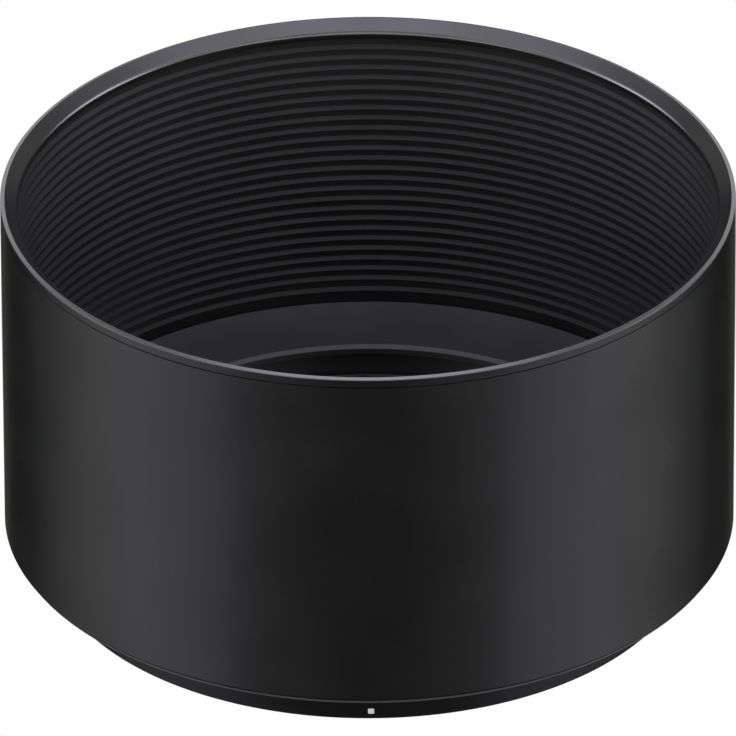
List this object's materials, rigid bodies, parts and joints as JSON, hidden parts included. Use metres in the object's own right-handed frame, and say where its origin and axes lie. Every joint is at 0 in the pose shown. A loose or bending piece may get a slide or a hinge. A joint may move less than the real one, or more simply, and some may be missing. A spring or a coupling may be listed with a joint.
{
  "type": "lens hood",
  "caption": "Round metal lens hood: smooth barrel, bevelled front ring, ribbed light-trap sleeve and a rear bayonet collar with lugs, sprung ball detents and a white index mark.",
  "frame": {"origin": "centre of the rear edge of the bayonet collar, on the hood's axis", "axes": "+Z along the hood's axis towards the front opening, -Y through the index mark"},
  "size_m": [0.092, 0.092, 0.0522],
  "materials": {
    "barrel_black": "satin black anodised aluminium",
    "baffle_black": "matte black anodised aluminium",
    "mark_white": "white enamel fill",
    "screw_black": "blackened steel",
    "steel": "polished hardened steel",
    "spring_steel": "drawn spring wire"
  },
  "bodies": {
    "hood": {"front_ring": "barrel_black", "outer_barrel": "barrel_black", "baffle_sleeve": "baffle_black", "base_ring": "baffle_black", "bayonet_ring": "barrel_black", "index_mark": "mark_white", "stop_pin": "steel", "flange_screws": "screw_black", "detent_spring_1": "spring_steel", "detent_plug_1": "screw_black", "detent_spring_2": "spring_steel", "detent_plug_2": "screw_black", "detent_spring_3": "spring_steel", "detent_plug_3": "screw_black"},
    "ball_1": {"detent_ball_1": "steel"},
    "ball_2": {"detent_ball_2": "steel"},
    "ball_3": {"detent_ball_3": "steel"}
  },
  "joints": [
    {"name": "ball_1_press", "type": "slide", "parent": "hood", "child": "ball_1", "axis": [0.4741, 0.8805, 0], "range_m": [0, 0.0003], "stiffness_N_per_m": 1500, "springref_m": -0.0006, "deforming": ["detent_spring_1"]},
    {"name": "ball_2_press", "type": "slide", "parent": "hood", "child": "ball_2", "axis": [-0.9996, -0.0297, 0], "range_m": [0, 0.0003], "stiffness_N_per_m": 1500, "springref_m": -0.0006, "deforming": ["detent_spring_2"]},
    {"name": "ball_3_press", "type": "slide", "parent": "hood", "child": "ball_3", "axis": [0.5255, -0.8508, 0], "range_m": [0, 0.0003], "stiffness_N_per_m": 1500, "springref_m": -0.0006, "deforming": ["detent_spring_3"]}
  ]
}
